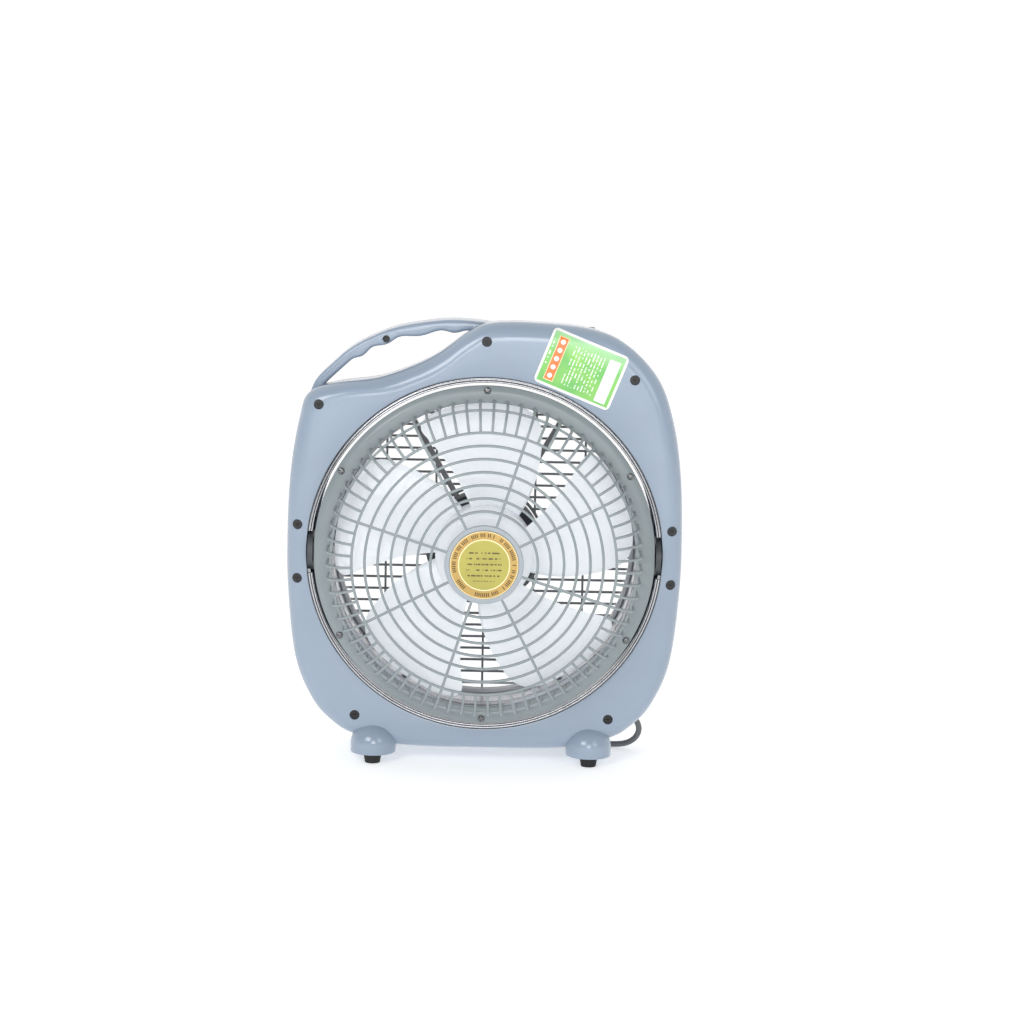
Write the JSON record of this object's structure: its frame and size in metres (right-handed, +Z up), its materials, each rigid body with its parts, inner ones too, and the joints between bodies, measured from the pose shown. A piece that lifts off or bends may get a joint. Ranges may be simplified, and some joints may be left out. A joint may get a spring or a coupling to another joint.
{
  "type": "box fan",
  "caption": "Box fan with a tilting round drum, translucent blade wheel, domed grille, carrying handle, top speed knob and a mains lead.",
  "frame": {"origin": "middle of the fan's own footprint on the floor, without its power cord", "axes": "+Z up, -Y towards the air outlet at the front, +X to the viewer's right"},
  "size_m": [0.3944, 0.288, 0.4431],
  "materials": {
    "body_plastic": "glossy moulded plastic, light blue-grey",
    "grille_plastic": "satin moulded plastic, grey",
    "trim_chrome": "bright plated trim",
    "black_screws": "blackened screw heads",
    "steel_screws": "zinc-plated screws",
    "pad_rubber": "black rubber",
    "pivot_plastic": "dark grey acetal",
    "label_film": "printed green film",
    "control_plastic": "dark control plastic",
    "switch_plastic": "cream bakelite-like plastic",
    "capacitor_case": "black plastic case",
    "cord_pvc": "grey flexible PVC",
    "plug_pvc": "dark grey moulded PVC",
    "pin_brass": "plug pins",
    "duct_metal": "bright sheet metal",
    "badge_gold": "gold foil disc",
    "badge_rim": "orange-gold foil band",
    "guard_plastic": "dark grey moulded plastic",
    "bracket_paint": "dark painted steel",
    "tube_metal": "steel tube",
    "motor_paint": "dark painted motor cover",
    "core_steel": "laminated steel",
    "winding_copper": "enamelled copper wire",
    "bush_bronze": "sintered bronze",
    "shaft_steel": "ground steel",
    "blade_plastic": "milky translucent plastic",
    "nut_plastic": "moulded nut",
    "tie_plastic": "black tie"
  },
  "bodies": {
    "housing": {"front_shell": "body_plastic", "rear_shell": "body_plastic", "trim_ring": "trim_chrome", "shell_screws": "black_screws", "front_left_foot": "body_plastic", "front_right_foot": "body_plastic", "rear_left_foot": "body_plastic", "rear_right_foot": "body_plastic", "foot_pads": "pad_rubber", "foot_screws": "steel_screws", "left_bearing": "pivot_plastic", "right_bearing": "pivot_plastic", "energy_label": "label_film", "control_plate": "body_plastic", "speed_switch": "switch_plastic", "capacitor": "capacitor_case", "terminal_block": "switch_plastic", "cord_outlet": "control_plastic", "cord_tube": "cord_pvc", "cord_coil": "cord_pvc", "cord_tail": "cord_pvc", "cord_tie": "tie_plastic", "plug_body": "plug_pvc", "plug_pins": "pin_brass"},
    "drum": {"drum_duct": "duct_metal", "front_grille": "grille_plastic", "hub_badge": "badge_gold", "badge_rim": "badge_rim", "ring_screws": "steel_screws", "rear_guard": "guard_plastic", "guard_screws": "steel_screws", "motor_bracket": "bracket_paint", "lead_tube": "tube_metal", "left_pivot_pin": "pivot_plastic", "right_pivot_pin": "pivot_plastic", "motor_front_cover": "motor_paint", "motor_rear_cover": "motor_paint", "stator_core": "core_steel", "stator_windings": "winding_copper", "front_bearing": "bush_bronze", "rear_bearing": "bush_bronze", "motor_screws": "steel_screws"},
    "rotor": {"blade_wheel": "blade_plastic", "blade_nut": "nut_plastic", "motor_shaft": "shaft_steel", "rotor_core": "core_steel", "drive_pin": "shaft_steel"},
    "knob": {"speed_knob": "control_plastic"}
  },
  "joints": [
    {"name": "drum_tilt", "type": "hinge", "parent": "housing", "child": "drum", "pos_m": [0, -0.018, 0.212], "axis": [1, 0, 0], "range_deg": [-30, 30]},
    {"name": "wheel_spin", "type": "hinge", "parent": "drum", "child": "rotor", "pos_m": [0, 0, 0.212], "axis": [0, 1, 0], "continuous": true},
    {"name": "knob_turn", "type": "hinge", "parent": "housing", "child": "knob", "pos_m": [0.104, 0.056, 0.424], "axis": [0, 0, 1], "range_deg": [-135, 0]}
  ]
}
